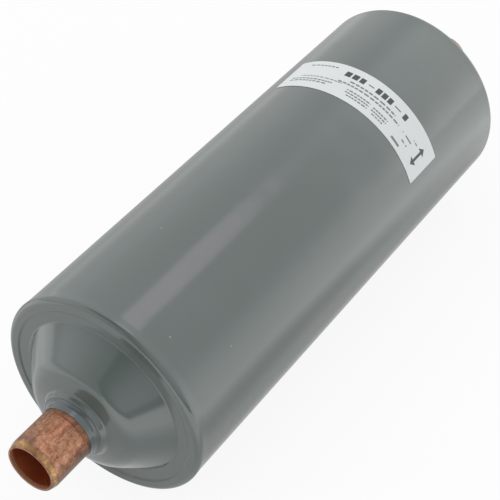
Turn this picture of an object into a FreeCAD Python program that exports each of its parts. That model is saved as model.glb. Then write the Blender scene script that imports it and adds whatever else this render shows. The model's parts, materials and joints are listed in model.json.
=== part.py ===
"""Reversible filter drier: a steel barrel with a domed cap and a copper socket at each end.

Refrigerant may enter at either socket. It lifts the inlet ring of that end, fills the space
round the desiccant core, soaks through the core to its bore and leaves past the outlet poppet
of the other end. +X runs along the barrel from port A to port B, +Z is up, millimetres.
The origin is the middle of the barrel. Profiles are written as (x, r) or (x, r, corner radius).
"""
import FreeCAD, Part
import math
import os

# Barrel: one tube with both edges turned in over the caps
SHELL_OD = 76.2
SHELL_WALL = 1.6
SHELL_LENGTH = 194.0
SHOULDER_SWELL = 0.35
SHOULDER_LENGTH = 4.6
LIP_BEND = 3.4
LIP_WIDTH = 4.6

# End cap: pressed sheet with a rebated rim, a flat ring, a dome and a neck
CAP_WALL = 2.0
CAP_FIT = 0.15
CAP_RIM_CHAMFER = 1.6
CAP_FACE_DROP = 0.1
LIP_GROOVE = 0.3
FLAT_RING_WIDTH = 4.1
DOME_FOOT_BEND = 0.8
CROWN_WIDTH = 6.8
DOME_RISE = 10.4
DOME_BEND = 10.0
CROWN_SLOPE = 0.6
NECK_WALL = 2.15
NECK_TAPER = 0.8
NECK_LENGTH = 2.7
NECK_FOOT_BEND = 1.8
NECK_EDGE_BEND = 0.7

# Copper port: a socket for a 5/8 in tube
PORT_OD = 18.7
STUB_LENGTH = 20.25
SOCKET_BORE = 16.0
SOCKET_DEPTH = 14.3
THROAT_BORE = 14.0
PORT_ROOT_REACH = 7.6
MOUTH_TAPER_LENGTH = 2.4
MOUTH_TAPER = 0.7
MOUTH_ROUND = 0.25
SCORE_WIDTH = 0.4
SCORE_DEPTH = 0.15
SCORE_FROM_BRAZE = 1.4

# Braze between neck and port
BRAZE_GAP = 0.1
BRAZE_SLEEVE = 3.5
BRAZE_LENGTH = 2.9
BRAZE_FOOT_STEP = 0.7
BRAZE_LIP = 0.2

# Valve plate: a dished disc whose rim stands against the cap
PLATE_WALL = 1.6
PLATE_FIT = 0.15
PLATE_RIM_LENGTH = 15.4
PLATE_BEND = 2.5
INLET_PORT_COUNT = 8
INLET_PORT_LAND = 6.0

# Seat hub in the middle of the plate
HUB_OD = 24.0
HUB_BORE = 17.0
HUB_SHOULDER_W = 1.5
HUB_SHOULDER_T = 2.0
SEAT_HEIGHT = 4.4
SEAT_WIDTH = 1.7
SEAT_CHAMFER = 0.8
GUIDE_SPARE = 1.0

# Inlet ring, guided on the hub, opens towards the core
RUNNING_CLEARANCE = 0.08
INLET_RING_T = 1.0
INLET_LIFT = 2.5
INLET_RING_LAP = 3.0
INLET_RING_MARGIN = 1.8

# Outlet poppet, guided by its stem in the cage, opens towards the port
POPPET_T = 1.2
POPPET_LAP = 0.8
OUTLET_LIFT = 2.5
STEM_D = 5.0
STEM_SPARE = 1.2

# Cage over the poppet
CAGE_WALL = 1.0
CAGE_FIT = 0.1
CAGE_FLANGE_W = 2.2
CAGE_HEADROOM = 3.3
CAGE_BEND = 1.5
CAGE_WINDOW_COUNT = 4
CAGE_WINDOW_W = 12.0
CAGE_WINDOW_MARGIN = 1.0

# Coil spring on the poppet's stem
COIL_WIRE = 0.7
COIL_MEAN_R = 6.0
COIL_TURNS = 3.0

# Finger springs: a base ring with bent fingers
FINGER_COUNT = 6
FINGER_T = 0.4
FINGER_W = 3.5
FINGER_FOOT = 1.5
FINGER_TIP = 1.2
INLET_SPRING_R = 14.0
INLET_SPRING_BASE_W = 3.0
INLET_SPRING_INSET = 3.5
PACK_SPRING_INSET = 3.5
PACK_SPRING_BASE_W = 2.2
PACK_SPRING_REACH = 3.2
PACK_GAP = 9.0

# Desiccant pack: core, felt, cups and bore screen
FLOW_SPACE = 4.5
CORE_BORE = 18.0
CORE_CHAMFER = 1.5
FELT_T = 2.0
FELT_INSET = 0.5
CUP_WALL = 1.0
CUP_FIT = 0.2
CUP_SKIRT = 8.0
CUP_BEND = 1.6
CUP_NECK_FIT = 0.3
CUP_NECK_SHORT = 4.0
SCREEN_WALL = 0.5
SCREEN_FIT = 0.1
SLOT_COLUMNS = 6
SLOT_ROWS = 7
SLOT_L = 11.0
SLOT_W = 3.0
SLOT_MARGIN = 8.0

# Label: a strip wrapped over the top of the barrel near port B, angles counted from +Y towards +Z
LABEL_T = 0.1
ADHESIVE_T = 0.1
LABEL_WIDTH = 18.4
LABEL_FROM_SHOULDER = 38.0
LABEL_EDGE_ANGLE = 159.5
LABEL_SPAN = 105.0

# Places along +X, worked out from the sizes above, port B end
SHELL_R = SHELL_OD / 2
SHELL_BORE_R = SHELL_R - SHELL_WALL
LIP_FACE = SHELL_LENGTH / 2
LIP_BACK = LIP_FACE - SHELL_WALL
SHOULDER_START = LIP_FACE - SHOULDER_LENGTH
LIP_EDGE_R = SHELL_R + SHOULDER_SWELL - LIP_WIDTH
CAP_FACE = LIP_FACE - CAP_FACE_DROP
CAP_BACK = LIP_BACK - CAP_WALL
CAP_RIM_R = SHELL_BORE_R - CAP_FIT
CAP_STEP_R = LIP_EDGE_R - LIP_GROOVE
PORT_R = PORT_OD / 2
NECK_BORE_R = PORT_R + BRAZE_GAP
NECK_TIP_R = NECK_BORE_R + NECK_WALL
NECK_FOOT_R = NECK_TIP_R + NECK_TAPER
DOME_FOOT_R = CAP_STEP_R - FLAT_RING_WIDTH
CROWN = CAP_FACE + DOME_RISE
CROWN_R = NECK_FOOT_R + CROWN_WIDTH
NECK_FOOT = CROWN + CROWN_SLOPE
NECK_TIP = NECK_FOOT + NECK_LENGTH
MOUTH = NECK_TIP + STUB_LENGTH
PORT_ROOT = NECK_TIP - PORT_ROOT_REACH
BRAZE_END = NECK_TIP + BRAZE_LENGTH
PLATE_FACE = CAP_BACK - PLATE_RIM_LENGTH
PLATE_BACK = PLATE_FACE + PLATE_WALL
PLATE_R = SHELL_BORE_R - PLATE_FIT
HUB_R = HUB_OD / 2
HUB_SHOULDER_R = HUB_R + HUB_SHOULDER_W
HUB_INNER_END = PLATE_FACE - INLET_RING_T - INLET_LIFT - GUIDE_SPARE
SEAT = PLATE_BACK + SEAT_HEIGHT
SEAT_R = HUB_BORE / 2 + SEAT_WIDTH
POPPET_R = SEAT_R + POPPET_LAP
POPPET_BACK = SEAT + POPPET_T
CAGE_BORE_R = HUB_SHOULDER_R + CAGE_FIT
CAGE_ROOF = POPPET_BACK + OUTLET_LIFT + CAGE_HEADROOM
STEM_R = STEM_D / 2
STEM_END = CAGE_ROOF + CAGE_WALL + STEM_SPARE
PACK_SPRING_TIP_R = SHELL_BORE_R - PACK_SPRING_INSET
PACK_SPRING_BEND_R = PACK_SPRING_TIP_R - PACK_SPRING_REACH
INLET_RING_R = PACK_SPRING_BEND_R - INLET_RING_MARGIN
INLET_PORT_OUTER_R = INLET_RING_R - INLET_RING_LAP
INLET_PORT_INNER_R = HUB_R + INLET_PORT_LAND
INLET_PORT_R = (INLET_PORT_OUTER_R - INLET_PORT_INNER_R) / 2
INLET_PORT_PITCH_R = INLET_PORT_INNER_R + INLET_PORT_R
CUP_FACE = PLATE_FACE - PACK_GAP
CUP_SEAT = CUP_FACE - CUP_WALL
CORE_END = CUP_SEAT - FELT_T
CORE_R = SHELL_BORE_R - FLOW_SPACE
CUP_BORE_R = CORE_R + CUP_FIT
CUP_NECK_R = HUB_BORE / 2 - CUP_NECK_FIT
SCREEN_R = CORE_BORE / 2 - SCREEN_FIT

ORIGIN = FreeCAD.Vector(0, 0, 0)
AXIS_X = FreeCAD.Vector(1, 0, 0)
AXIS_Z = FreeCAD.Vector(0, 0, 1)


def wire_from(corners):
    """Closed wire in the XY plane through (x, r, radius) corners, each one rounded by its radius."""
    points = [FreeCAD.Vector(corner[0], corner[1], 0) for corner in corners]
    radii = [corner[2] if len(corner) > 2 else 0.0 for corner in corners]
    edges = []
    starts = []
    ends = []
    arcs = []
    for i, point in enumerate(points):
        before = points[i - 1] - point
        after = points[(i + 1) % len(points)] - point
        half_angle = before.getAngle(after) / 2
        setback = 0.0
        if radii[i] > 0:
            setback = min(radii[i] / math.tan(half_angle), 0.49 * before.Length, 0.49 * after.Length)
        start = point + before.normalize() * setback
        end = point + after.normalize() * setback
        starts.append(start)
        ends.append(end)
        arcs.append(None)
        if setback > 0:
            radius = setback * math.tan(half_angle)
            inward = (before + after).normalize()
            middle = point + inward * (radius / math.sin(half_angle) - radius)
            arcs[i] = Part.Arc(start, middle, end).toShape()
    for i in range(len(points)):
        if arcs[i] is not None:
            edges.append(arcs[i])
        edges.append(Part.makeLine(ends[i], starts[(i + 1) % len(points)]))
    return Part.Wire(edges)


def turned(corners):
    """Solid of revolution about the barrel's axis."""
    return Part.Face(wire_from(corners)).revolve(ORIGIN, AXIS_X, 360)


def offset_path(corners, distance):
    """Open path moved sideways to its left by distance, with each bend's radius following."""
    lines = []
    for a, b in zip(corners, corners[1:]):
        run = (b[0] - a[0], b[1] - a[1])
        length = math.hypot(*run)
        shift = (-run[1] / length * distance, run[0] / length * distance)
        lines.append(((a[0] + shift[0], a[1] + shift[1]), run))
    moved = [lines[0][0] + (0.0,)]
    for i in range(1, len(lines)):
        (start_a, run_a), (start_b, run_b) = lines[i - 1], lines[i]
        cross = run_a[0] * run_b[1] - run_a[1] * run_b[0]
        gap = (start_b[0] - start_a[0], start_b[1] - start_a[1])
        along = (gap[0] * run_b[1] - gap[1] * run_b[0]) / cross
        radius = corners[i][2] - distance * math.copysign(1.0, cross)
        moved.append((start_a[0] + run_a[0] * along, start_a[1] + run_a[1] * along, max(radius, 0.0)))
    (start, run) = lines[-1]
    moved.append((start[0] + run[0], start[1] + run[1], 0.0))
    return moved


def sheet(corners, wall):
    """Closed outline of bent sheet: the given side of it, and the side a wall to its left."""
    return list(corners) + offset_path(corners, wall)[::-1]


def around(shape, count, first=0.0):
    """Copies of a shape at equal turns about the barrel's axis."""
    copies = []
    for i in range(count):
        copy = shape.copy()
        copy.rotate(ORIGIN, AXIS_X, first + i * 360.0 / count)
        copies.append(copy)
    return copies


def shell_tube():
    swollen = SHELL_R + SHOULDER_SWELL
    outside = [(0, SHELL_R, 0.0), (SHOULDER_START, SHELL_R, 12.0),
               (LIP_FACE, swollen, LIP_BEND), (LIP_FACE, LIP_EDGE_R, 0.0)]
    inside = offset_path(outside, -SHELL_WALL)[::-1]
    half = outside + inside
    far = [(-x, r, bend) for x, r, bend in half[::-1]]
    return turned(half[1:-1] + far[1:-1])


def end_cap():
    dome = [(CAP_FACE, CAP_STEP_R, 0.25),
            (CAP_FACE, DOME_FOOT_R, DOME_FOOT_BEND),
            (CROWN, CROWN_R, DOME_BEND),
            (NECK_FOOT, NECK_FOOT_R, NECK_FOOT_BEND),
            (NECK_TIP, NECK_TIP_R, NECK_EDGE_BEND)]
    inside = offset_path(dome[:4], -CAP_WALL)[1:3]
    crown_back = NECK_FOOT - CAP_WALL
    rim = [(CAP_FACE - CAP_WALL, CAP_STEP_R - CAP_WALL, 0.0),
           (CAP_BACK, CAP_STEP_R - CAP_WALL / 2, 0.0),
           (CAP_BACK, CAP_RIM_R, 0.0),
           (LIP_BACK - CAP_RIM_CHAMFER, CAP_RIM_R, 0.0),
           (LIP_BACK, CAP_RIM_R - CAP_RIM_CHAMFER, 0.0),
           (LIP_BACK, CAP_STEP_R, 0.0)]
    bore = [(NECK_TIP, NECK_BORE_R, 0.0), (crown_back, NECK_BORE_R, NECK_FOOT_BEND)]
    return turned(dome + bore + inside[::-1] + rim)


def port_fitting():
    score = BRAZE_END + SCORE_FROM_BRAZE
    mouth_r = PORT_R - MOUTH_TAPER
    stop = MOUTH - SOCKET_DEPTH
    return turned([(PORT_ROOT, THROAT_BORE / 2), (PORT_ROOT, PORT_R, 0.3),
                   (score, PORT_R), (score + SCORE_WIDTH / 2, PORT_R - SCORE_DEPTH),
                   (score + SCORE_WIDTH, PORT_R),
                   (MOUTH - MOUTH_TAPER_LENGTH, PORT_R, MOUTH_TAPER_LENGTH * 2),
                   (MOUTH, mouth_r, MOUTH_ROUND), (MOUTH, SOCKET_BORE / 2),
                   (stop, SOCKET_BORE / 2), (stop, THROAT_BORE / 2)])


def braze_ring():
    foot_r = NECK_TIP_R - BRAZE_FOOT_STEP
    lip_r = PORT_R + BRAZE_LIP
    return turned([(NECK_TIP - BRAZE_SLEEVE, PORT_R), (NECK_TIP - BRAZE_SLEEVE, NECK_BORE_R),
                   (NECK_TIP, NECK_BORE_R), (NECK_TIP, foot_r, 0.1),
                   (NECK_TIP + BRAZE_LENGTH / 3, lip_r + BRAZE_LIP, 1.6),
                   (BRAZE_END, lip_r, 0.1), (BRAZE_END, PORT_R)])


def valve_plate():
    face = [(CAP_BACK, PLATE_R, 0.0), (PLATE_FACE, PLATE_R, PLATE_BEND), (PLATE_FACE, HUB_R, 0.0)]
    plate = turned(sheet(face, PLATE_WALL))
    start = FreeCAD.Vector(PLATE_FACE - PLATE_WALL, INLET_PORT_PITCH_R, 0)
    drill = Part.makeCylinder(INLET_PORT_R, 3 * PLATE_WALL, start, AXIS_X)
    return plate.cut(around(drill, INLET_PORT_COUNT))


def seat_hub():
    bore_r = HUB_BORE / 2
    shoulder_top = PLATE_BACK + HUB_SHOULDER_T
    return turned([(HUB_INNER_END, bore_r), (HUB_INNER_END, HUB_R, 0.5),
                   (PLATE_BACK, HUB_R), (PLATE_BACK, HUB_SHOULDER_R),
                   (shoulder_top, HUB_SHOULDER_R), (shoulder_top, SEAT_R + SEAT_CHAMFER),
                   (SEAT - SEAT_CHAMFER, SEAT_R + SEAT_CHAMFER), (SEAT, SEAT_R), (SEAT, bore_r)])


def inlet_valve_ring():
    inner_r = HUB_R + RUNNING_CLEARANCE
    back = PLATE_FACE - INLET_RING_T
    return turned([(back, inner_r), (back, INLET_RING_R),
                   (PLATE_FACE, INLET_RING_R), (PLATE_FACE, inner_r)])


def outlet_poppet():
    return turned([(SEAT, 0), (SEAT, POPPET_R), (POPPET_BACK, POPPET_R, 0.3),
                   (POPPET_BACK, STEM_R), (STEM_END, STEM_R, 0.5), (STEM_END, 0)])


def outlet_cage():
    hole_r = STEM_R + RUNNING_CLEARANCE
    roof = CAGE_ROOF + CAGE_WALL
    wall_r = CAGE_BORE_R + CAGE_WALL
    flange_r = wall_r + CAGE_FLANGE_W
    flange_top = PLATE_BACK + CAGE_WALL
    outside = [(flange_top, flange_r, 0.0), (flange_top, wall_r, 0.5),
               (roof, wall_r, CAGE_BEND), (roof, hole_r, 0.0)]
    cage = turned(sheet(outside, -CAGE_WALL))
    sill = max(PLATE_BACK + HUB_SHOULDER_T, flange_top) + CAGE_WINDOW_MARGIN
    height = CAGE_ROOF - CAGE_WINDOW_MARGIN - sill
    corner = FreeCAD.Vector(sill, CAGE_BORE_R / 2, -CAGE_WINDOW_W / 2)
    window = Part.makeBox(height, wall_r, CAGE_WINDOW_W, corner)
    return cage.cut(around(window, CAGE_WINDOW_COUNT))


def coil_spring():
    """Square wire wound round the poppet's stem, pressing between the poppet and the cage's roof."""
    half = COIL_WIRE / 2
    height = CAGE_ROOF - POPPET_BACK - COIL_WIRE
    path = Part.makeHelix(height / COIL_TURNS, height, COIL_MEAN_R)
    section = Part.makePolygon([FreeCAD.Vector(COIL_MEAN_R + out * half, 0, up * half)
                                for out, up in ((-1, -1), (1, -1), (1, 1), (-1, 1), (-1, -1))])
    spring = Part.Wire(path.Edges).makePipeShell([section], True, True)
    spring.rotate(ORIGIN, FreeCAD.Vector(0, 1, 0), 90)
    spring.translate(AXIS_X * (POPPET_BACK + half))
    return spring


def finger_spring(seat, top, base_r, bend_r, tip_r):
    """Flat ring lying on seat, whose bent fingers run outward and press on the face at top."""
    underside = [(seat, bend_r - FINGER_FOOT, 0.0), (seat, bend_r, FINGER_T),
                 (top - FINGER_T, tip_r - FINGER_TIP, FINGER_T), (top - FINGER_T, tip_r, 0.0)]
    finger = Part.Face(wire_from(sheet(underside, -FINGER_T))).extrude(AXIS_Z * FINGER_W)
    finger.translate(AXIS_Z * (-FINGER_W / 2))
    base = turned([(seat, base_r), (seat, bend_r), (seat + FINGER_T, bend_r), (seat + FINGER_T, base_r)])
    return base.fuse(around(finger, FINGER_COUNT)).removeSplitter()


def inlet_valve_spring():
    return finger_spring(CUP_FACE, PLATE_FACE - INLET_RING_T, INLET_SPRING_R,
                         INLET_SPRING_R + INLET_SPRING_BASE_W, INLET_RING_R - INLET_SPRING_INSET)


def pack_spring():
    return finger_spring(CUP_FACE, PLATE_FACE, PACK_SPRING_BEND_R - PACK_SPRING_BASE_W,
                         PACK_SPRING_BEND_R, PACK_SPRING_TIP_R)


def desiccant_core():
    """Moulded block of drying beads, open through its bore."""
    bore_r = CORE_BORE / 2
    return turned([(-CORE_END, bore_r), (-CORE_END, CORE_R - CORE_CHAMFER),
                   (CORE_CHAMFER - CORE_END, CORE_R), (CORE_END - CORE_CHAMFER, CORE_R),
                   (CORE_END, CORE_R - CORE_CHAMFER), (CORE_END, bore_r)])


def bore_screen():
    """Slotted tube that lines the core's bore."""
    tube = turned([(-CUP_SEAT, SCREEN_R - SCREEN_WALL), (-CUP_SEAT, SCREEN_R),
                   (CUP_SEAT, SCREEN_R), (CUP_SEAT, SCREEN_R - SCREEN_WALL)])
    usable = 2 * (CORE_END - SLOT_MARGIN)
    pitch = usable / SLOT_ROWS
    slots = []
    for row in range(SLOT_ROWS):
        middle = (row + 0.5) * pitch - usable / 2
        corner = FreeCAD.Vector(middle - SLOT_L / 2, SCREEN_R / 2, -SLOT_W / 2)
        slots += around(Part.makeBox(SLOT_L, SCREEN_R, SLOT_W, corner), SLOT_COLUMNS)
    return tube.cut(slots)


def felt_pad():
    outer_r = CORE_R - FELT_INSET
    bore_r = CORE_BORE / 2
    return turned([(CORE_END, bore_r), (CORE_END, outer_r), (CUP_SEAT, outer_r), (CUP_SEAT, bore_r)])


def core_cup():
    outer_r = CUP_BORE_R + CUP_WALL
    neck_end = SEAT - CUP_NECK_SHORT
    outside = [(CORE_END - CUP_SKIRT, outer_r, 0.0), (CUP_FACE, outer_r, CUP_BEND),
               (CUP_FACE, CUP_NECK_R, 0.5), (neck_end, CUP_NECK_R, 0.0)]
    return turned(sheet(outside, -CUP_WALL))


def label():
    """Printed strip, lying on the barrel from the photographed edge over the top."""
    start = SHOULDER_START - LABEL_FROM_SHOULDER - LABEL_WIDTH
    inner_r = SHELL_R + ADHESIVE_T
    corners = [(start, inner_r), (start, inner_r + LABEL_T),
               (start + LABEL_WIDTH, inner_r + LABEL_T), (start + LABEL_WIDTH, inner_r)]
    strip = Part.Face(wire_from(corners)).revolve(ORIGIN, AXIS_X, LABEL_SPAN)
    strip.rotate(ORIGIN, AXIS_X, LABEL_EDGE_ANGLE - LABEL_SPAN)
    return strip


def save(node, shape):
    """Write one piece, as a solid of its own."""
    solid = shape if shape.ShapeType == "Solid" else Part.Solid(shape.Shells[0])
    if solid.Volume < 0:
        solid.reverse()
    solid.exportStep("parts/" + node + ".step")


os.makedirs("parts", exist_ok=True)

one_of_each = {"shell_tube": shell_tube(), "desiccant_core": desiccant_core(),
               "bore_screen": bore_screen(), "label": label()}
one_per_end = {
    "end_cap": end_cap(), "port_fitting": port_fitting(), "braze_ring": braze_ring(),
    "valve_plate": valve_plate(), "seat_hub": seat_hub(),
    "inlet_valve_ring": inlet_valve_ring(),
    "inlet_valve_spring": inlet_valve_spring(),
    "outlet_poppet": outlet_poppet(), "outlet_cage": outlet_cage(), "outlet_spring": coil_spring(),
    "pack_spring": pack_spring(),
    "core_cup": core_cup(), "felt_pad": felt_pad()}

for node, shape in one_of_each.items():
    save(node, shape)
for node, shape in one_per_end.items():
    save(node + "_b", shape)
    turned_round = shape.copy()
    turned_round.rotate(ORIGIN, AXIS_Z, 180)
    save(node + "_a", turned_round)
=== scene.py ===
# %% [markdown]
# A filter drier sits in the liquid line of a refrigeration plant. It is a painted steel barrel that
# holds drying beads, with a copper socket at each end for the plant's tubes. The packed CAD model is
# the frame: every piece below is made in metres, in the same place as the node that it stands for.
# X runs along the barrel to port B, the farther one, and Z is up. Sizes are written in millimetres,
# and MM turns them into metres.

# %% Load the frame
import json
import bmesh
import bpy
import numpy as np
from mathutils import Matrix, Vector


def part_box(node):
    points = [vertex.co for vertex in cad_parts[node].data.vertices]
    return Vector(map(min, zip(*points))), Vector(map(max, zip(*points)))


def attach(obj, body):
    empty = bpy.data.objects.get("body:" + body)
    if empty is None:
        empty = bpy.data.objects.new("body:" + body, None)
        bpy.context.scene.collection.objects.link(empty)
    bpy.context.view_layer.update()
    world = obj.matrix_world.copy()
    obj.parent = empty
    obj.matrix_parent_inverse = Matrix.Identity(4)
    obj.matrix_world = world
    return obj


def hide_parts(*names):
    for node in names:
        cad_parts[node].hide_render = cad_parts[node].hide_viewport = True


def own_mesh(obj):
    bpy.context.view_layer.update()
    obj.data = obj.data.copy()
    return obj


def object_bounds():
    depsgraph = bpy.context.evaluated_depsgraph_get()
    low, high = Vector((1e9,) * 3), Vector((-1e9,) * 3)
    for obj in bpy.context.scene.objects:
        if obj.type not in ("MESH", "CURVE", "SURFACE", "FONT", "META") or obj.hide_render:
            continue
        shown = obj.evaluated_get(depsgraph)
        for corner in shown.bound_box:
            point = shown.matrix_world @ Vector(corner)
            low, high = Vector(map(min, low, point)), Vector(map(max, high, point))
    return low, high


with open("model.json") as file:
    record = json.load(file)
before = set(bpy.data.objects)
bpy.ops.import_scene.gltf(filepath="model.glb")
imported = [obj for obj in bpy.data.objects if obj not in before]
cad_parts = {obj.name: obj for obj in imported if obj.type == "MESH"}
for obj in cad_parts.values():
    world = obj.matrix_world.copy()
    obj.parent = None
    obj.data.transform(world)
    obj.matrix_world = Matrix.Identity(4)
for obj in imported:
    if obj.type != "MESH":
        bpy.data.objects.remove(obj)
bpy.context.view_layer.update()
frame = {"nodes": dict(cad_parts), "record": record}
MM = 0.001
HOUSING = "housing"

# %% [markdown]
# Nearly all of a drier is turned: each piece is an outline of its section, carried round the barrel's
# axis. Drawing the outline as corners with a bend radius is how the maker draws it too. Real corners
# are never sharp, so a corner without a radius of its own still gets a small break, and light catches
# it. The outline also gives the surface's exact direction, which keeps reflections clean.

# %% Outlines with rounded corners
ARC_STEP = np.radians(6)
SIDE_FOR_BEND = 0.49
TIGHTEST_BEND = 0.05


def rounded_outline(corners, edge_break):
    """Closed outline through (x, r, bend radius) corners, with the material on its right.

    At a corner the direction turns by an angle T. The arc starts radius * tan(T / 2) before the
    corner, and its point at share s is start + radius * (n(0) - n(s)), where n(s) is the left-hand
    normal turned by s * T. A bend takes less than half of each side. Returns the points and their
    normals, one row for each."""
    corner = np.array([c[:2] for c in corners], float)
    radius = np.array([c[2] if len(c) > 2 else edge_break for c in corners], float)
    run = np.roll(corner, -1, 0) - corner
    length = np.hypot(*run.T)
    ahead = run / length[:, None]
    behind = np.roll(ahead, 1, 0)
    turn = np.arctan2(behind[:, 0] * ahead[:, 1] - behind[:, 1] * ahead[:, 0], (behind * ahead).sum(1))
    room = SIDE_FOR_BEND * np.minimum(length, np.roll(length, 1))
    setback = np.minimum(radius * np.tan(abs(turn) / 2), room)
    radius = setback / np.tan(abs(turn) / 2)
    points, normals = [], []
    for i in range(len(corner)):
        share = np.linspace(0, 1, 2 + int(abs(turn[i]) / ARC_STEP))
        heading = np.arctan2(behind[i, 1], behind[i, 0]) + share * turn[i]
        normal = np.stack([-np.sin(heading), np.cos(heading)], 1)
        start = corner[i] - behind[i] * setback[i]
        points.append(start + np.sign(turn[i]) * radius[i] * (normal[0] - normal))
        normals.append(normal)
    return np.concatenate(points), np.concatenate(normals)


def offset_corners(corners, distance):
    """Corners of the line that lies distance to the left of an open run of corners.

    Each stretch moves sideways, neighbours meet where they cross, and a bend keeps its centre."""
    point = np.array([c[:2] for c in corners], float)
    run = np.diff(point, axis=0)
    run /= np.hypot(*run.T)[:, None]
    side = np.stack([-run[:, 1], run[:, 0]], 1) * distance
    moved = [tuple(point[0] + side[0])]
    for i in range(1, len(point) - 1):
        a, b = run[i - 1], run[i]
        cross = a[0] * b[1] - a[1] * b[0]
        gap = side[i] - side[i - 1]
        meet = point[i] + side[i - 1] + a * (gap[0] * b[1] - gap[1] * b[0]) / cross
        moved.append((meet[0], meet[1], max(corners[i][2] - distance * np.sign(cross), TIGHTEST_BEND)))
    moved.append(tuple(point[-1] + side[-1]))
    return moved


square = rounded_outline([(0, 0), (0, 1), (1, 1), (1, 0)], 0.1)[0]
print("a square corner takes", len(square) // 4, "points")

# %% [markdown]
# The outline is swept round the axis as one grid, rows along the outline and columns round the
# axis. Both directions close on themselves, so the mesh has no seam and no pole. The piece at port A
# is the one at port B turned half round, which keeps its faces outward, as a mirror would not.

# %% Turned pieces
TURN_STEPS = 288
SMALL_TURN_STEPS = 240
EDGE_BREAK = 0.12


def piece_from(name, points, faces, normals, finish, node):
    """A mesh object in metres, with its exact normals, that stands for the node on the housing."""
    mesh = bpy.data.meshes.new(name)
    mesh.from_pydata(points, [], faces)
    mesh.polygons.foreach_set("use_smooth", np.ones(len(mesh.polygons), bool))
    mesh.normals_split_custom_set_from_vertices(normals)
    mesh.materials.append(finish)
    piece = bpy.data.objects.new(name, mesh)
    bpy.context.scene.collection.objects.link(piece)
    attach(piece, HOUSING)
    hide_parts(node)
    print(name, len(points), "points", 2 * len(faces), "triangles")
    return piece


def turned(name, corners, finish, node, end=1, columns=TURN_STEPS, stray=None):
    """Surface of revolution: (x, r) of the outline at angle t goes to (x, r cos t, r sin t).

    end -1 turns it half round the upright axis, to (-x, -y, z). stray(x, r, t) gives how far, in
    millimetres, the point moves along its normal, for a piece that was shaped by hand."""
    outline, outline_normal = rounded_outline(corners, EDGE_BREAK)
    angle = np.linspace(0, 2 * np.pi, columns, endpoint=False)
    x, r = (a[:, None] + 0 * angle for a in outline.T)
    nx, nr = (a[:, None] + 0 * angle for a in outline_normal.T)
    if stray is not None:
        move = stray(x, r, angle[None, :])
        x, r = x + nx * move, r + nr * move
    points = np.stack([end * x, end * r * np.cos(angle), r * np.sin(angle)], 2) * MM
    normals = np.stack([end * nx, end * nr * np.cos(angle), nr * np.sin(angle)], 2)
    rows = len(outline)
    i, j = (a.ravel() for a in np.meshgrid(np.arange(rows), np.arange(columns), indexing="ij"))
    up, on = (i + 1) % rows, (j + 1) % columns
    faces = np.stack([i * columns + j, i * columns + on, up * columns + on, up * columns + j], 1)
    return piece_from(name, points.reshape(-1, 3), faces, normals.reshape(-1, 3), finish, node)


print("columns stand", 360 / TURN_STEPS, "degrees apart, on small pieces", 360 / SMALL_TURN_STEPS)

# %% [markdown]
# Finishes are written as shader maths. A small class wraps a socket, so that an expression such as
# 1 - mask adds the Math nodes that it needs.


# %% Shader maths
class Value:
    """A node's output. Arithmetic on it adds Math nodes."""

    def __init__(self, tree, socket):
        self.tree, self.socket = tree, socket

    def maths(self, operation, *others, first=None):
        node = self.tree.nodes.new("ShaderNodeMath")
        node.operation = operation
        operands = [self if first is None else first, *others]
        for slot, operand in zip(node.inputs, operands):
            if isinstance(operand, Value):
                self.tree.links.new(operand.socket, slot)
            else:
                slot.default_value = operand
        return Value(self.tree, node.outputs[0])

    def __add__(self, other): return self.maths("ADD", other)
    def __radd__(self, other): return self.maths("ADD", other)
    def __sub__(self, other): return self.maths("SUBTRACT", other)
    def __rsub__(self, other): return self.maths("SUBTRACT", self, first=other)
    def __mul__(self, other): return self.maths("MULTIPLY", other)
    def __rmul__(self, other): return self.maths("MULTIPLY", other)
    def __truediv__(self, other): return self.maths("DIVIDE", other)
    def __rtruediv__(self, other): return self.maths("DIVIDE", self, first=other)
    def __pow__(self, other): return self.maths("POWER", other)
    def __rpow__(self, other): return self.maths("POWER", self, first=other)
    def __abs__(self): return self.maths("ABSOLUTE")
    def at_most(self, other): return self.maths("MINIMUM", other)
    def at_least(self, other): return self.maths("MAXIMUM", other)
    def under(self, other): return self.maths("LESS_THAN", other)
    def over(self, other): return self.maths("GREATER_THAN", other)

    def apart(self):
        """The three parts of a vector."""
        node = self.tree.nodes.new("ShaderNodeSeparateXYZ")
        self.tree.links.new(self.socket, node.inputs[0])
        return [Value(self.tree, part) for part in node.outputs]

    def ramp(self, low, high):
        """0 below low, 1 above high, smooth between. low may be the larger one, which turns it over."""
        share = ((self - low) / (high - low)).at_least(0.0).at_most(1.0)
        return share * share * (3.0 - 2.0 * share)

    def towards(self, other, share):
        """This value at share 0, the other at share 1, and straight between."""
        return self + (other - self) * share


print("a value knows", len([name for name in vars(Value) if callable(getattr(Value, name))]), "operations")

# %% [markdown]
# A finish is one Principled shader and whatever feeds it. A number that is the same all over goes
# straight onto the shader's socket, and one method adds any node that isn't arithmetic. The usual
# helpers build on it: noise at a scale in features per metre, a mix of two colours, and a bump
# whose depth is in metres.


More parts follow.
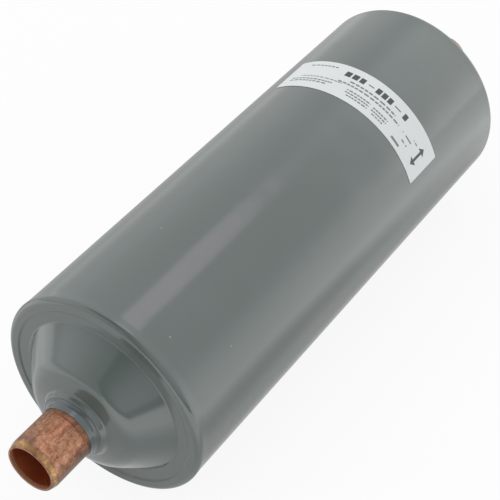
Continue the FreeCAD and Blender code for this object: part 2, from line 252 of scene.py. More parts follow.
# %% Finishes
class Finish:
    """A material under construction: one Principled shader, and any nodes that feed it."""

    def __init__(self, name, **constants):
        self.material = bpy.data.materials.new(name)
        self.material.use_nodes = True
        self.tree = self.material.node_tree
        self.shader = self.tree.nodes["Principled BSDF"]
        self.coords = self.node("TexCoord", out="Object")
        for socket, value in constants.items():
            self.shader.inputs[socket.replace("_", " ")].default_value = value

    def node(self, kind, settings=None, values=None, out=0):
        """Any node: its settings are set first, then the values or links of its sockets."""
        node = self.tree.nodes.new("ShaderNode" + kind)
        for name, setting in (settings or {}).items():
            setattr(node, name, setting)
        for key, value in (values or {}).items():
            if isinstance(value, Value):
                self.tree.links.new(value.socket, node.inputs[key])
            else:
                node.inputs[key].default_value = value
        return Value(self.tree, node.outputs[out])

    def stretched(self, sx, sy, sz, turn=(0.0, 0.0, 0.0)):
        """Object coordinates in metres, times these scales."""
        return self.node("Mapping", values={"Vector": self.coords, "Scale": (sx, sy, sz), "Rotation": turn})

    def noise(self, place, scale, detail=2.0, roughness=0.5, distortion=0.0):
        return self.node("TexNoise", values={"Vector": place, "Scale": scale, "Detail": detail,
                                             "Roughness": roughness, "Distortion": distortion})

    def cells(self, scale, out):
        """Cells round scattered points: the Distance to the point, or the Color of its cell."""
        return self.node("TexVoronoi", {"feature": "F1"}, {"Vector": self.coords, "Scale": scale}, out)

    def mix(self, share, first, second):
        """Colour that goes from first at share 0 to second at share 1."""
        first, second = ((*c, 1.0) if isinstance(c, tuple) else c for c in (first, second))
        return self.node("Mix", {"data_type": "RGBA"}, {0: share, 6: first, 7: second}, out=2)

    def bump(self, height, distance, under=None):
        values = {"Height": height, "Distance": distance}
        if under is not None:
            values["Normal"] = under
        return self.node("Bump", values=values)

    def feed(self, **sockets):
        """Links what varies over the surface to the shader, and gives the material."""
        for socket, value in sockets.items():
            self.tree.links.new(value.socket, self.shader.inputs[socket.replace("_", " ")])
        print(self.material.name, "has", len(self.tree.nodes), "nodes")
        return self.material


# %% [markdown]
# The barrel, caps and braze wear one grey enamel, sprayed on after brazing. Such paint is never
# quite flat: it dries with a faint orange peel a millimetre or two wide over slower swells, and dust
# caught in it leaves pale pinheads. Three of those show in the photograph, and their places are
# listed. The braze fillet gets the same enamel with deeper orange peel, more specks and two darker
# greys.

# %% Grey enamel
BARREL_R = 38.1
ENAMEL_GREY, ENAMEL_PALE = (0.086, 0.110, 0.104), (0.095, 0.118, 0.113)
# the fillet's greys are darker than the barrel's
FILLET_GREY, FILLET_PALE = (0.048, 0.064, 0.068), (0.062, 0.080, 0.084)
DUST_GREY = (0.42, 0.45, 0.45)
DUST_PLACES = ((-86.7, 123.6), (-70.9, 147.4), (-54.4, 80.5))  # x, and degrees round the barrel
DUST_SCALE, CLOUD_SCALE, PATCH_SCALE = 70.0, 22.0, 35.0
PEEL_SCALE, SWELL_SCALE = 420.0, 60.0
SWELL_DEPTH, DUST_HEIGHT = 0.00012, 0.00008


def enamel(name, peel_depth, speck_share, grey, pale):
    """Enamel between two greys, with orange peel that deep and specks in that share of the cells."""
    paint = Finish(name, IOR=1.6)
    cell_colour = paint.cells(DUST_SCALE, "Color")
    chosen = paint.node("SeparateColor", values={0: cell_colour}).over(1.0 - speck_share)
    dust = paint.cells(DUST_SCALE, "Distance").ramp(0.035, 0.012) * chosen
    for x, degrees in DUST_PLACES:
        y, z = BARREL_R * np.cos(np.radians(degrees)), BARREL_R * np.sin(np.radians(degrees))
        spot = Vector((x, y, z)) * MM
        away = paint.node("VectorMath", {"operation": "DISTANCE"}, {0: paint.coords, 1: spot}, "Value")
        dust = dust.at_least(away.ramp(0.00042, 0.0001))
    cloud = paint.noise(paint.coords, CLOUD_SCALE, detail=3.0)
    colour = paint.mix(cloud.ramp(0.35, 0.7), grey, pale)
    colour = paint.mix(dust * 0.5, colour, DUST_GREY)
    peel = paint.noise(paint.coords, PEEL_SCALE, detail=2.0, roughness=0.4)
    swell = paint.noise(paint.coords, SWELL_SCALE, detail=1.0)
    surface = paint.bump(peel, peel_depth, under=paint.bump(swell, SWELL_DEPTH))
    surface = paint.bump(dust, DUST_HEIGHT, under=surface)
    rough = 0.11 + 0.05 * paint.noise(paint.coords, PATCH_SCALE, detail=4.0) + 0.2 * dust
    return paint.feed(Base_Color=colour, Roughness=rough, Normal=surface)


grey_enamel = enamel("grey_enamel", 0.000006, 0.012, ENAMEL_GREY, ENAMEL_PALE)
fillet_enamel = enamel("fillet_enamel", 0.00003, 0.03, FILLET_GREY, FILLET_PALE)

# %% [markdown]
# The sockets are bare copper that was heated when they were brazed in. Heat leaves the colours of
# thin oxide: plum and brown clouds, a brown root, and near the mouth a brass yellow band with bright
# gold spots in it, which are painted highlights. Drawing the tube leaves fine lines along it, and
# handling mottles it. Painted shade darkens the underside and the whole farther stub. Bands follow
# the distance along the barrel, streaks are noise stretched the same way, and the cut edge and the
# bore are told apart by the radius.

# %% Heat-tinted copper
MOUTH = 130.85
STUB_ROOT = 113.5
COPPER_PINK, COPPER_PALE = (0.24, 0.104, 0.055), (0.42, 0.235, 0.155)
COPPER_PLUM, COPPER_BROWN = (0.135, 0.080, 0.076), (0.125, 0.050, 0.025)
# the second colour is painted highlight: bright gold spots in the band near the mouth
HEAT_YELLOW, PAINTED_GOLD_HIGHLIGHT = (0.36, 0.235, 0.090), (0.75, 0.50, 0.20)
# the colour of painted shade on the copper, on its underside and on the whole farther stub
PAINTED_SHADE_COPPER = (0.145, 0.092, 0.070)
BORE_BROWN, RIM_COPPER = (0.55, 0.19, 0.08), (0.36, 0.17, 0.10)
ROOT_HEAT = ((STUB_ROOT + 3.2) * MM, (STUB_ROOT + 0.4) * MM)
BAND_START = ((MOUTH - 2.3) * MM, (MOUTH - 1.5) * MM)
BAND_END = ((MOUTH - 0.3) * MM, (MOUTH - 0.8) * MM)
EDGE_START = ((MOUTH - 1.5) * MM, (MOUTH - 1.1) * MM)
BORE_START = (8.3 * MM, 8.1 * MM)
# painted shade on the underside: none above the first height, full below the second
PAINTED_SHADE_UNDERSIDE = (0.0035, -0.0045)


def heated_copper():
    """Each step lays one more tint over the colour so far, by a mask from 0 to 1."""
    copper = Finish("heated_copper")
    x, y, z = copper.coords.apart()
    along = abs(x)
    radius = (y * y + z * z) ** 0.5
    streak = copper.noise(copper.stretched(90.0, 700.0, 700.0), 1.0, detail=4.0, roughness=0.65)
    mottle = copper.noise(copper.coords, 620.0, detail=5.0, roughness=0.7, distortion=0.4)
    cloud = copper.noise(copper.coords, 190.0, detail=4.0, roughness=0.65, distortion=0.6)
    spots = copper.noise(copper.stretched(700.0, 900.0, 900.0, (0.0, 0.0, 0.4)), 1.0, detail=2.0)
    grain = copper.noise(copper.coords, 1500.0, detail=3.0, roughness=0.7)
    ragged = along + 0.0012 * (cloud - 0.5) + 0.0008 * (mottle - 0.5)
    band = ragged.ramp(*BAND_START) * ragged.ramp(*BAND_END)
    inside = radius.ramp(*BORE_START)
    cut_edge = inside * along.ramp(*EDGE_START)
    colour = copper.mix(mottle.ramp(0.36, 0.66), COPPER_PINK, COPPER_PALE)
    for mask, tint in ((cloud.ramp(0.48, 0.66) * 0.55, COPPER_PLUM),
                       (streak.ramp(0.5, 0.72) * 0.6, COPPER_BROWN),
                       (spots.ramp(0.66, 0.76) * 0.8, COPPER_BROWN),
                       (ragged.ramp(*ROOT_HEAT) * 0.5, COPPER_BROWN),
                       (grain.ramp(0.5, 0.75) * 0.45, COPPER_BROWN),
                       # painted shade: the underside of each stub is darkened
                       ((z + 0.003 * (cloud - 0.5)).ramp(*PAINTED_SHADE_UNDERSIDE) * 0.75, PAINTED_SHADE_COPPER),
                       (band * (0.15 + 0.6 * cloud.ramp(0.35, 0.6)), HEAT_YELLOW),
                       # painted highlight: bright gold spots in the band
                       (band * mottle.ramp(0.52, 0.66) * 0.6, PAINTED_GOLD_HIGHLIGHT),
                       # painted shade: the whole farther stub is darkened
                       (x.over(0.0) * 0.7, PAINTED_SHADE_COPPER),
                       (inside, BORE_BROWN),
                       (cut_edge, RIM_COPPER)):
        colour = copper.mix(mask, colour, tint)
    rough = 0.26 + 0.2 * mottle + 0.12 * streak + 0.1 * inside
    lines = copper.noise(copper.stretched(40.0, 2600.0, 2600.0), 1.0, detail=2.0)
    surface = copper.bump(lines, 0.000012, under=copper.bump(mottle, 0.00004))
    return copper.feed(Base_Color=colour, Roughness=rough, Normal=surface, Metallic=1.0 - 0.85 * cut_edge)


copper_finish = heated_copper()

# %% [markdown]
# The barrel is one steel tube whose edges are turned in over the caps. The outline goes along its
# outside, round the turned edge, and back along the inside a wall away, and then through the other
# half the same way. The edge at port A was pressed harder: the tube swells a little there, and the
# bend is wide. The far edge stays straight and tight. The length comes from the frame.

# %% Barrel
LIP_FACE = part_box("shell_tube")[1].x / MM
SHELL_WALL = 1.6
LIP_EDGE_R = BARREL_R - 4.25
SHOULDER = LIP_FACE - 4.6
SHOULDER_BEND, LIP_CUT_BREAK = 12.0, 0.45
NEAR_SWELL, NEAR_BEND = 0.35, 3.4
FAR_SWELL, FAR_BEND = 0.05, 1.75


def half_barrel(swell, bend):
    """Corners (x, r, radius) from the middle to the turned edge and back inside, for x above 0.

    From SHOULDER on the tube swells, to BARREL_R + swell where the lip's bend would have its corner."""
    outside = [(0, BARREL_R), (SHOULDER, BARREL_R, SHOULDER_BEND), (LIP_FACE, BARREL_R + swell, bend),
               (LIP_FACE, LIP_EDGE_R)]
    corners = outside[1:] + offset_corners(outside, -SHELL_WALL)[::-1][:-1]
    return [(c + (LIP_CUT_BREAK,))[:3] for c in corners]


near_half = [(-x, r, bend) for x, r, bend in half_barrel(NEAR_SWELL, NEAR_BEND)]
far_half = half_barrel(FAR_SWELL, FAR_BEND)
turned("barrel", far_half + near_half[::-1], grey_enamel, "shell_tube")

# %% [markdown]
# Each cap is pressed from sheet: a flat ring under the turned edge, a tight step up to the dome, and
# a short neck that grips the copper. The dome's big bend is one arc between two straight cones, and
# the small arcs at the neck are what draws the bright and dark rings there. Paint fills the joint
# between ring and barrel, so the outline starts with a little bridge up to the turned edge.

# %% End caps
CAP_FACE = LIP_FACE - 0.45
CAP_BACK = LIP_FACE - 3.6
CAP_WALL = 2.0
CAP_STEP_R = LIP_EDGE_R - 0.03
CAP_RIM_R = BARREL_R - SHELL_WALL - 0.15
RIM_FRONT, RIM_CHAMFER = LIP_FACE - 1.6, 1.6
DOME_FOOT_R = CAP_STEP_R - 4.1
PORT_R = 9.35
NECK_BORE_R = PORT_R + 0.1
NECK_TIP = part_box("end_cap_b")[1].x / MM
NECK_TIP_R, NECK_FOOT_R = 11.6, 12.4
NECK_FOOT = NECK_TIP - 2.7
CROWN = (NECK_FOOT - 0.6, 19.2)
ENDS = ((-1, "a"), (1, "b"))

dome = [(LIP_FACE - 0.17, LIP_EDGE_R + 0.11, 0.02), (CAP_FACE, LIP_EDGE_R - 0.17, 0.5),
        (CAP_FACE, DOME_FOOT_R, 0.8), (*CROWN, 10.0), (NECK_FOOT + 0.9, NECK_FOOT_R, 1.3),
        (NECK_TIP, NECK_TIP_R, 0.7)]
neck_bore = [(NECK_TIP, NECK_BORE_R, 0.1), (NECK_FOOT - CAP_WALL, NECK_BORE_R, 1.8)]
dome_back = [(c + (0.3,))[:3] for c in offset_corners(dome[1:5], -CAP_WALL)[1:3]]
rim = [(CAP_FACE - CAP_WALL, CAP_STEP_R - CAP_WALL, 0.2), (CAP_BACK, CAP_STEP_R - CAP_WALL / 2, 0.2),
       (CAP_BACK, CAP_RIM_R, 0.2), (RIM_FRONT - RIM_CHAMFER, CAP_RIM_R, 0.2),
       (RIM_FRONT, CAP_RIM_R - RIM_CHAMFER, 0.2), (RIM_FRONT, CAP_STEP_R, 0.1)]
for end, mark in ENDS:
    turned("cap_" + mark, dome + neck_bore + dome_back[::-1] + rim, grey_enamel,
           "end_cap_" + mark, end)

# %% [markdown]
# The braze between neck and copper was laid by hand, so its painted fillet isn't quite even: its
# surface strays by a tenth of a millimetre as it goes round. Three sines, with 3, 7 and 13 waves a
# turn, are enough to look unplanned, and they close on themselves.

# %% Braze fillet
BRAZE_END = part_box("braze_ring_b")[1].x / MM
BRAZE_ROOT = NECK_TIP - 3.5
LIP_R = PORT_R + 0.2
BRAZE_STRAY = 0.12

fillet = [(BRAZE_ROOT, PORT_R, 0.05), (BRAZE_ROOT, NECK_BORE_R, 0.05), (NECK_TIP - 0.2, NECK_BORE_R, 0.02),
          (NECK_TIP - 0.11, NECK_TIP_R - 0.36, 0.1), (NECK_TIP + 0.62, LIP_R + 0.35, 0.9),
          (BRAZE_END, LIP_R, 0.2), (BRAZE_END, PORT_R, 0.05)]


def hand_laid(x, r, angle):
    """Inward only: -BRAZE_STRAY times a wave between 0 and 1, which fades out at the neck's face, at
    the sleeve of braze on the copper, and at the fillet's outer edge."""
    wave = 0.5 + 0.22 * np.sin(3 * angle + 0.7) + 0.16 * np.sin(7 * angle + 2.1) + 0.12 * np.sin(13 * angle)
    clear_of_neck = np.clip((x - NECK_TIP) / 0.6, 0, 1)
    clear_of_sleeve = np.clip((r - LIP_R) / 0.25, 0, 1)
    clear_of_edge = np.clip((NECK_TIP_R - 0.4 - r) / 0.3, 0, 1)
    return -BRAZE_STRAY * wave * clear_of_neck * clear_of_sleeve * clear_of_edge


print("fillet from", round(BRAZE_ROOT, 2), "to", round(BRAZE_END, 2), "mm along the barrel")

# %% [markdown]
# The copper stub is a drawn tube with a socket in its mouth. It keeps the ring scored round its
# root, a slight taper at the mouth, and the step inside that stops the plant's tube. Fillet and
# stub are then made at one end after the other.

# %% Copper stubs and their fillets
SOCKET_R, THROAT_R, SOCKET_DEPTH = 8.0, 7.0, 14.3
PORT_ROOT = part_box("port_fitting_b")[0].x / MM
SCORE, SCORE_WIDTH, SCORE_DEPTH = BRAZE_END + 1.4, 0.4, 0.15
TAPER, MOUTH_R = MOUTH - 2.4, PORT_R - 0.7

stub = [(PORT_ROOT, THROAT_R), (PORT_ROOT, PORT_R, 0.3), (SCORE, PORT_R, 0.05),
        (SCORE + SCORE_WIDTH / 2, PORT_R - SCORE_DEPTH, 0.05), (SCORE + SCORE_WIDTH, PORT_R, 0.05),
        (TAPER, PORT_R, 4.8), (MOUTH, MOUTH_R, 0.25), (MOUTH, SOCKET_R, 0.25),
        (MOUTH - SOCKET_DEPTH, SOCKET_R, 0.2), (MOUTH - SOCKET_DEPTH, THROAT_R, 0.2)]
for end, mark in ENDS:
    turned("braze_" + mark, fillet, fillet_enamel, "braze_ring_" + mark, end,
           columns=SMALL_TURN_STEPS, stray=hand_laid)
    turned("stub_" + mark, stub, copper_finish, "port_fitting_" + mark, end,
           columns=SMALL_TURN_STEPS)

# %% [markdown]
# The label is a printed film on the barrel. Its print is plain: rows of short bars, a few larger
# blocks, and the two-headed arrow that says the flow may go either way. The bars are laid out in
# millimetres on the label's own UV map and drawn by the shader, so that they stay crisp at any size
# and follow the curve. u runs round the barrel and v along it.

# %% Label layout
LABEL_LENGTH, LABEL_WIDTH = 69.82, 18.4
BLOCKS = ((22.6, 25.0), (25.7, 28.1), (28.8, 30.9), (35.9, 38.0), (38.6, 40.7), (41.3, 43.3),
          (49.2, 51.1))
BLOCK_LOW, BLOCK_HIGH = 12.3, 15.2
DASHES = ((32.4, 34.8), (44.6, 47.6))
DASH_MIDDLE, DASH_HEIGHT = 13.7, 0.5
BAR_ROWS = (  # start, end, middle height, bar height, length of one bar and its gap
    (6.2, 18.4, 15.5, 0.7, 1.9), (6.8, 24.5, 7.7, 0.55, 1.7),
    (3.4, 21.4, 5.9, 0.75, 1.4), (3.4, 19.8, 4.5, 0.75, 1.7),
    (25.8, 47.2, 10.4, 0.8, 2.3), (22.5, 50.5, 8.6, 0.8, 2.0),
    (27.8, 38.1, 6.0, 0.7, 1.6), (27.8, 38.1, 4.6, 0.7, 1.3), (29.0, 38.1, 3.2, 0.7, 1.5),
    (39.5, 46.7, 5.6, 0.7, 1.5), (39.5, 46.7, 4.2, 0.7, 1.2), (40.5, 46.0, 2.8, 0.6, 1.6),
    (53.0, 58.4, 8.5, 0.7, 5.6), (54.7, 57.9, 5.7, 0.7, 3.4), (58.4, 60.7, 10.8, 0.6, 2.6),
    (50.6, 56.8, 2.4, 1.1, 6.4))
ARROW_U, ARROW_LOW, ARROW_HIGH = 63.75, 3.4, 13.5
HEAD_LENGTH, HEAD_HALF, SHAFT_HALF = 2.4, 1.9, 0.55
print(len(BLOCKS), "blocks and", len(BAR_ROWS), "rows on", LABEL_LENGTH, "by", LABEL_WIDTH, "mm")

# %% [markdown]
# Each mark is a mask from 0 to 1 with a soft edge, and the larger of two masks joins them. In a row
# of bars, the fraction of u over a bar's length repeats from 0 to 1, and a sine makes the bars
# uneven. The arrow's head narrows with the distance to its tip.

# %% Label print
LABEL_WHITE, INK = (0.68, 0.715, 0.715), (0.035, 0.042, 0.05)
SOFT = 0.07
ROW_SHADE = 0.8


def bar(u, v, left, right, middle, height):
    """1 within the bar, with edges that are soft for SOFT millimetres either way."""
    across = abs(u - (left + right) / 2).ramp((right - left) / 2 + SOFT, (right - left) / 2 - SOFT)
    return across * abs(v - middle).ramp(height / 2 + SOFT, height / 2 - SOFT)


def arrow(u, v):
    """Two heads, each as wide as its distance from the tip allows, and a shaft between them."""
    nearest_tip = (v - ARROW_LOW).at_most(ARROW_HIGH - v)
    side = abs(u - ARROW_U)
    head = (nearest_tip * (HEAD_HALF / HEAD_LENGTH) - side).ramp(-SOFT, SOFT) * nearest_tip.under(HEAD_LENGTH)
    shaft = side.ramp(SHAFT_HALF + SOFT, SHAFT_HALF - SOFT) * nearest_tip.over(1.0)
    return head.at_least(shaft)


def printed_film():
    film = Finish("printed_film", IOR=1.46)
    u, v, _ = film.node("TexCoord", out="UV").apart()
    u, v = u * LABEL_LENGTH, v * LABEL_WIDTH
    ink = arrow(u, v)
    for left, right in BLOCKS:
        ink = ink.at_least(bar(u, v, left, right, (BLOCK_LOW + BLOCK_HIGH) / 2, BLOCK_HIGH - BLOCK_LOW))
    for left, right in DASHES:
        ink = ink.at_least(bar(u, v, left, right, DASH_MIDDLE, DASH_HEIGHT))
    for left, right, middle, height, length in BAR_ROWS:
        place = (u / length + 0.37 * middle + 0.3 * (u * 0.9 / length).maths("SINE")).maths("FRACT")
        bars = abs(place - 0.5).ramp(0.42, 0.36)
        ink = ink.at_least(bar(u, v, left, right, middle, height) * bars * ROW_SHADE)
    grain = film.noise(film.coords, 900.0)
    wrinkle = film.noise(film.coords, 130.0)
    white = film.mix(grain, tuple(c * 0.97 for c in LABEL_WHITE), LABEL_WHITE)
    return film.feed(Base_Color=film.mix(ink, white, INK), Roughness=0.34 + 0.12 * ink + 0.05 * grain,
                     Normal=film.bump(wrinkle, 0.00002))


film_finish = printed_film()

# %% [markdown]
# The film is a thin curved plate with rounded corners, stuck on a little askew. Its grid runs along
# the label and across it. Towards each end the rows draw together by a quarter circle, which rounds
# the corners without leaving the grid. An outer and an inner sheet share a rim of side faces, so the
# plate is closed.

# %% Label plate
LABEL_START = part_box("label")[0].x / MM
LABEL_LEFT_ANGLE, LABEL_SPAN = 54.5, 104.8
LABEL_SKEW = 0.8
LABEL_IN_R, LABEL_OUT_R = BARREL_R + 0.01, BARREL_R + 0.12
CORNER_R, CORNER_STEPS = 0.7, 12
LABEL_COLUMNS, LABEL_ROWS = 200, 16


def label_plate():
    """Point (s, w) lies at arc length u(s) and height v = middle + w * half(u).

    half(u) is half the width, less R - sqrt(R^2 - (R - d)^2) within R of an end that is d away. The
    height falls by LABEL_SKEW from the left end to the right one, which lies nearer port A."""
    ends = CORNER_R * (1 - np.cos(np.linspace(0, np.pi / 2, CORNER_STEPS)))
    middle = np.linspace(CORNER_R, LABEL_LENGTH - CORNER_R, LABEL_COLUMNS)[1:-1]
    u = np.concatenate([ends, middle, LABEL_LENGTH - ends[::-1]])
    near = np.clip(CORNER_R - np.minimum(u, LABEL_LENGTH - u), 0, CORNER_R)
    half_width = LABEL_WIDTH / 2 - (CORNER_R - np.sqrt(CORNER_R ** 2 - near ** 2))
    w = np.linspace(-1, 1, LABEL_ROWS)
    v = LABEL_WIDTH / 2 + half_width[:, None] * w
    angle = np.radians(LABEL_LEFT_ANGLE + LABEL_SPAN * u / LABEL_LENGTH)[:, None] + 0 * w
    ray = np.stack([0 * angle, np.cos(angle), np.sin(angle)], 2)
    askew = LABEL_SKEW * u[:, None] / LABEL_LENGTH
    axis = np.stack([LABEL_START + v - askew, 0 * v, 0 * v], 2)
    sheets = [(axis + ray * radius) * MM for radius in (LABEL_OUT_R, LABEL_IN_R)]
    points = np.concatenate([sheet.reshape(-1, 3) for sheet in sheets])
    number = np.arange(v.size).reshape(v.shape)
    quad = np.stack([number[:-1, :-1], number[1:, :-1], number[1:, 1:], number[:-1, 1:]], 2).reshape(-1, 4)
    edge = np.concatenate([number[:, 0], number[-1, 1:], number[-2::-1, -1], number[0, -2:0:-1]])
    after = np.roll(edge, -1)
    side = np.stack([after, edge, edge + v.size, after + v.size], 1)
    faces = np.concatenate([quad, quad[:, ::-1] + v.size, side])
    normals = np.concatenate([ray.reshape(-1, 3), -ray.reshape(-1, 3)])
    uv = np.stack([u[:, None] + 0 * v, v], 2).reshape(-1, 2) / (LABEL_LENGTH, LABEL_WIDTH)
    return points, faces, normals, np.concatenate([uv, uv])


label_points, label_faces, label_normals, label_uv = label_plate()
label = piece_from("print_label", label_points, label_faces, label_normals, film_finish,
                   "label")
layer = label.data.uv_layers.new(name="print")
layer.data.foreach_set("uv", label_uv[label_faces.ravel()].astype(np.float32).ravel())

# %% [markdown]
# The inside is hidden, but it moves and is looked at in section, so its pieces keep their CAD shape
# and get real finishes: zinc plated pressings with a faint spangle, bright spring steel brushed
# along its wire, and turned brass with fine tool rings.


# %% Metals of the inside
def zinc_plate():
    zinc = Finish("zinc_plate", Metallic=1.0)
    blotch = zinc.noise(zinc.coords, 120.0, detail=3.0)
    colour = zinc.mix(blotch.ramp(0.3, 0.7), (0.56, 0.57, 0.56), (0.68, 0.67, 0.63))
    return zinc.feed(Base_Color=colour, Roughness=0.3 + 0.15 * blotch,
                     Normal=zinc.bump(zinc.noise(zinc.coords, 1500.0), 0.00001))


def spring_steel():
    steel = Finish("spring_steel", Metallic=1.0)
    brush = steel.noise(steel.stretched(300.0, 2200.0, 2200.0), 1.0, detail=3.0)
    colour = steel.mix(brush, (0.44, 0.45, 0.48), (0.60, 0.60, 0.62))
    return steel.feed(Base_Color=colour, Roughness=0.2 + 0.15 * brush, Normal=steel.bump(brush, 0.000008))


def turned_brass():
    brass = Finish("turned_brass", Metallic=1.0)
    rings = brass.noise(brass.stretched(4000.0, 60.0, 60.0), 1.0)
    tint = brass.noise(brass.coords, 150.0, detail=3.0)
    colour = brass.mix(tint, (0.66, 0.47, 0.20), (0.78, 0.60, 0.30))
    return brass.feed(Base_Color=colour, Roughness=0.18 + 0.15 * rings, Normal=brass.bump(rings, 0.00001))


inner = {"plated_steel": zinc_plate(), "spring_steel": spring_steel(), "turned_brass": turned_brass()}

# %% [markdown]
# Two soft-looking materials fill the rest: white felt, whose fibres are fine twisted noise under a
# little sheen, and the core, beads about two millimetres wide bonded into one block. Cells of the
# Voronoi texture make the beads, raised in the middle, with painted shade that darkens the gaps
# between them.


# %% Felt and beads
def white_felt():
    felt = Finish("white_felt", Roughness=0.95, Sheen_Weight=0.3)
    fibre = felt.noise(felt.coords, 1800.0, detail=6.0, roughness=0.7, distortion=1.5)
    colour = felt.mix(fibre, (0.66, 0.63, 0.56), (0.82, 0.80, 0.74))
    return felt.feed(Base_Color=colour, Normal=felt.bump(fibre, 0.0003))


def bonded_beads():
    beads = Finish("bonded_beads")
    from_middle = beads.cells(480.0, "Distance")
    tint = beads.noise(beads.coords, 300.0, detail=3.0)
    colour = beads.mix(tint, (0.60, 0.53, 0.44), (0.76, 0.70, 0.61))
    # painted shade: the gaps between the beads are darkened
    colour = beads.mix(from_middle.ramp(0.35, 0.75), colour, (0.33, 0.28, 0.23))
    return beads.feed(Base_Color=colour, Roughness=0.75 + 0.2 * tint,
                      Normal=beads.bump(1.0 - from_middle, 0.0009))


inner.update(felt=white_felt(), desiccant=bonded_beads())

# %% [markdown]
# Every CAD node gets the finish of the record's slot, also one that a piece above stands for, so
# nothing plain is left if it is ever shown.

# %% Finishes on the nodes
finishes = {"grey_paint": grey_enamel, "painted_braze": fillet_enamel, "copper": copper_finish,
            "label_film": film_finish, **inner}
for part in frame["record"]["subparts"]:
    for place in frame["nodes"][part["node"]].material_slots:
        place.material = finishes[part["material_slot"]]

# %% [markdown]
# A valve spring is the one kind of piece here that changes its length: one end stands still and the
# other follows its valve. Each is a merged copy of its solid.

# %% Valve springs
SAME_POINT = 0.001 * MM
SHARP_EDGE = np.radians(35)


def merged_copy(node, name):
    """A copy of the node's mesh whose loose triangles share their corners, smooth up to SHARP_EDGE."""
    mesh = frame["nodes"][node].data.copy()
    shape = bmesh.new()
    shape.from_mesh(mesh)
    bmesh.ops.remove_doubles(shape, verts=shape.verts, dist=SAME_POINT)
    shape.to_mesh(mesh)
    shape.free()
    mesh.polygons.foreach_set("use_smooth", np.ones(len(mesh.polygons), bool))
    mesh.set_sharp_from_angle(angle=SHARP_EDGE)
    mesh.materials.clear()
    mesh.materials.append(inner["spring_steel"])
    return bpy.data.objects.new(name, mesh)


for joint in frame["record"]["behaviour"]["joints"]:
    for rule in joint["deforming_nodes"]:
        spring = merged_copy(rule["node"], "flexing_" + rule["node"])
        bpy.context.scene.collection.objects.link(spring)
        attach(spring, HOUSING)
        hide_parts(rule["node"])
        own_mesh(spring)

# %% [markdown]
# The object stands on a wide white sheet. One large square does, at the height of the object's lowest
# point.

# %% Floor
FLOOR_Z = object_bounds()[0].z
HALF_FLOOR = 4.0

floor_mesh = bpy.data.meshes.new("floor")
floor_corners = [(HALF_FLOOR * x, HALF_FLOOR * y, FLOOR_Z) for x, y in ((-1, -1), (1, -1), (1, 1), (-1, 1))]
floor_mesh.from_pydata(floor_corners, [], [(0, 1, 2, 3)])
floor = bpy.data.objects.new("floor", floor_mesh)
bpy.context.scene.collection.objects.link(floor)
print("floor at", round(FLOOR_Z / MM, 2), "mm")

# %% [markdown]
# Glossy enamel looks like what it mirrors, so the sheet has two looks. The camera sees a plain
# white, nine tenths of it given and the rest from the light, so the soft shadow stays. A mirror ray
# sees a painted picture of the studio's sheet: grey under and close to the barrel, a painted shadow
# of it, bright further out on the camera's side, where painted light falls, dim beyond the barrel,
# and dark past port A, where the sheet ends. That second look lights nothing. It is worked out from
# the place on the sheet, in metres.

# %% The sheet as a mirror sees it
SHOWN_WHITE = 0.9
NEAR_TABLE, BRIGHT_TABLE, DIM_TABLE, OFF_SHEET = 0.95, 2.15, 1.1, 0.45
SHEET_WHITE = (0.86, 0.86, 0.86, 1.0)
HALF_AXIS = 0.1
PORT_EDGE, PORT_END = (-0.09, -0.105), (-0.09, -0.12)  # x where the part past port A starts
SIDE_EDGE = (0.01, -0.01)  # y where the camera's side starts
SHADOW_EDGE, BRIGHT_EDGE = (0.060, 0.038), (0.075, 0.15)  # distances from the axis
CORNER_EDGE = (1.08, 0.92)


def kinds_of_ray(finish):
    """1 for a ray from the camera, and 1 for one that a mirror or glass sends on."""
    kinds = ("Is Camera Ray", "Is Glossy Ray", "Is Transmission Ray")
    camera_ray, glossy, through = (finish.node("LightPath", out=kind) for kind in kinds)
    return camera_ray, glossy.at_least(through)


def mirrored_sheet(x, y):
    """Brightness at (x, y): dim beyond the barrel, bright on the camera's side, dark off the sheet.

    clear is the distance to the barrel's axis, seen from above, where the axis is 2 * HALF_AXIS
    long. Past port A the sheet ends: close falls from 1 to 0 with the distance, and ahead falls
    from 1 to 0 with the slope towards the camera's side. The sheet stops where their squares add
    up to less than 1, which rounds its corner."""
    clear = (y * y + (abs(x) - HALF_AXIS).at_least(0.0) ** 2.0) ** 0.5
    past_port = x.ramp(*PORT_EDGE)
    bright_side = y.ramp(*SIDE_EDGE).at_least(past_port)
    # painted shadow of the barrel, on the sheet as mirror rays see it
    painted_barrel_shadow = clear.ramp(*SHADOW_EDGE) * (1.0 - past_port)
    near = NEAR_TABLE - 0.3 * painted_barrel_shadow
    far = BRIGHT_TABLE - past_port * (0.9 * y.ramp(-0.06, 0.04) - 0.5 * y.ramp(0.12, 0.22))
    shift = 0.035 * x.ramp(0.0, 0.12) + 0.03 * past_port
    bright = near.towards(far, (clear + shift).ramp(*BRIGHT_EDGE))
    dim = (0.4 + 1.6 * clear).at_most(DIM_TABLE)
    close = 1.0 - ((clear - 0.33) / 0.5).at_most(1.0)
    slope = y / (-0.08 - x).at_least(0.02)
    ahead = 1.0 - ((slope + 0.07) / -0.35).at_most(1.0)
    off_sheet = (close * close + ahead * ahead).ramp(*CORNER_EDGE) * x.ramp(*PORT_END)
    return dim.towards(bright, bright_side).towards(OFF_SHEET, off_sheet)


paper = Finish("white_paper", Base_Color=SHEET_WHITE, Roughness=1.0, Specular_IOR_Level=0.0)
paper_x, paper_y, _ = paper.coords.apart()
to_camera, to_mirror = kinds_of_ray(paper)
glow = paper.node("Emission", values={"Color": mirrored_sheet(paper_x, paper_y).towards(1.0, to_camera)})
lit = paper.node("MixShader", values={0: (to_camera * SHOWN_WHITE).at_least(to_mirror),
                                      1: Value(paper.tree, paper.shader.outputs[0]), 2: glow})
paper.tree.links.new(lit.socket, paper.tree.nodes["Material Output"].inputs["Surface"])
floor_mesh.materials.append(paper.material)
print("white_paper has", len(paper.tree.nodes), "nodes")

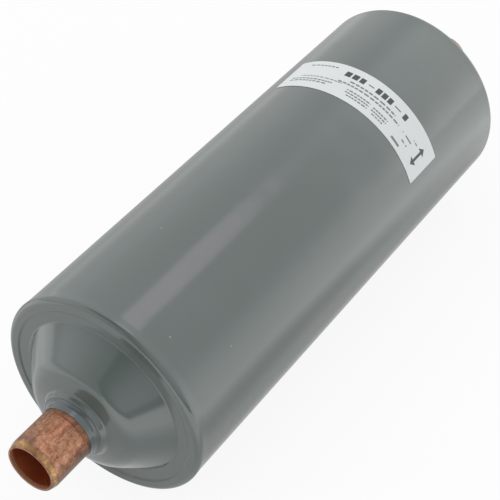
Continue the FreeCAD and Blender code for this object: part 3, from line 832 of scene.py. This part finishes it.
# %% [markdown]
# The room is made the same way. It lights the object evenly from all sides, the camera sees it
# white, and a mirror ray sees a studio. Past port B there is a pale wall with a brighter panel, and
# a long lamp overhead. Past port A there is a wall that fades towards the ceiling, a bright panel
# low on the right, and darkness above that, where the camera stands. Directions are unit vectors,
# so z is the sine of the height above the horizon. Left and right are the camera's.


# %% The room as a mirror sees it
class Room(Finish):
    """The world, written with the same nodes as a finish."""

    def __init__(self):
        world = bpy.data.worlds.new("room")
        world.use_nodes = True
        bpy.context.scene.world = world
        self.tree = world.node_tree


def long_lamp(x, y, z):
    """1 in a strip overhead, along the barrel and past its far end."""
    return abs(y + 0.005).ramp(0.20, 0.12) * z.ramp(0.75, 0.80) * x.ramp(0.1, 0.2)


def wall_past_b(x, y, z):
    """Pale on the left, brighter low on the right, with a panel ahead and to the right."""
    left = y.ramp(-0.3, 0.3)
    left_wall = 1.05 + 0.3 * z.ramp(0.0, 0.4)
    right_wall = 1.42 + 0.6 * z.ramp(0.4, 0.0)
    panel = 0.8 * x.ramp(0.64, 0.76) * y.ramp(0.4, 0.05)
    return left * left_wall + (1.0 - left) * right_wall + panel


def wall_past_a(y, z):
    """Brighter to the left, LOW_PANEL low on the right, and dark above that.

    The dark part starts at a rounded corner: there the squares of what is left of the way to
    y = -0.25, and of the way up to z = 0.28, add up to 1."""
    wall = (0.65 + 0.85 * y.ramp(0.0, 0.9) * (0.5 + 0.5 * z.ramp(0.04, 0.24))) * z.ramp(0.9, 0.7)
    wall = wall.towards(LOW_PANEL, y.ramp(0.0, -0.1) * z.ramp(0.3, 0.1))
    dark_part = 0.22 + 0.8 * y.ramp(-0.05, -0.6)
    way_right = (1.0 + y / 0.25).at_least(0.0)
    way_up = (1.0 - (z + 0.12) / 0.4).at_least(0.0)
    return dark_part.towards(wall, (way_right ** 2.0 + way_up ** 2.0).ramp(0.92, 1.08))


ROOM_LIGHT, LAMP_GAIN, LOW_PANEL = 0.86, 1.3, 2.1
WHITE, LAMP_TINT = (1.0, 1.0, 1.0), (1.0, 0.87, 0.94)
room = Room()
room_x, room_y, room_z = room.node("TexCoord", out="Generated").apart()
lamp = long_lamp(room_x, room_y, room_z)
past_b = wall_past_b(room_x, room_y, room_z) + LAMP_GAIN * lamp
walls = wall_past_a(room_y, room_z).towards(past_b, room_x.ramp(-0.15, 0.15))
to_camera, to_mirror = kinds_of_ray(room)
strength = ROOM_LIGHT + (1.0 - ROOM_LIGHT) * to_camera + (walls - ROOM_LIGHT) * to_mirror
background = room.tree.nodes["Background"]
room.tree.links.new(strength.socket, background.inputs["Strength"])
room.tree.links.new(room.mix(lamp * to_mirror, WHITE, LAMP_TINT).socket, background.inputs["Color"])
print("room has", len(room.tree.nodes), "nodes")

# %% [markdown]
# One large soft lamp stands high on the left. It adds a little direction to the even light and gives
# the soft shadow. It is hidden from mirror rays, because the walls above already say what they see.

# %% Soft lamp
PANEL_PLACE, PANEL_SIZE, PANEL_WATTS = Vector((0.1, 0.5, 1.1)), (1.2, 1.0), 3.0

panel = bpy.data.lights.new("sky_panel", "AREA")
panel.shape, panel.size, panel.size_y = "RECTANGLE", *PANEL_SIZE
panel.energy = PANEL_WATTS
sky = bpy.data.objects.new("sky_panel", panel)
bpy.context.scene.collection.objects.link(sky)
sky.location = PANEL_PLACE
sky.rotation_euler = (-PANEL_PLACE).to_track_quat("-Z", "Y").to_euler()
sky.visible_glossy = False
print("lamp of", PANEL_WATTS, "W at", round(PANEL_PLACE.length, 2), "m")

# %% [markdown]
# The camera stands where the photograph was taken from: its place, aim and lens were worked out
# from the barrel's outline there.

# %% Camera
CAMERA_PLACE, CAMERA_AIM = Vector((-0.31175, -0.2036, 0.33444)), Vector((-0.0085, 0.0034, -0.0055))
LENS, SENSOR_WIDTH = 100.8, 36.0

camera = bpy.data.objects.new("camera", bpy.data.cameras.new("camera"))
bpy.context.scene.collection.objects.link(camera)
camera.location = CAMERA_PLACE
camera.rotation_euler = (CAMERA_AIM - CAMERA_PLACE).to_track_quat("-Z", "Y").to_euler()
camera.data.lens, camera.data.sensor_width = LENS, SENSOR_WIDTH
bpy.context.scene.camera = camera
bpy.context.scene.view_settings.view_transform = "Standard"
print("camera", round((CAMERA_AIM - CAMERA_PLACE).length, 3), "m from its aim")
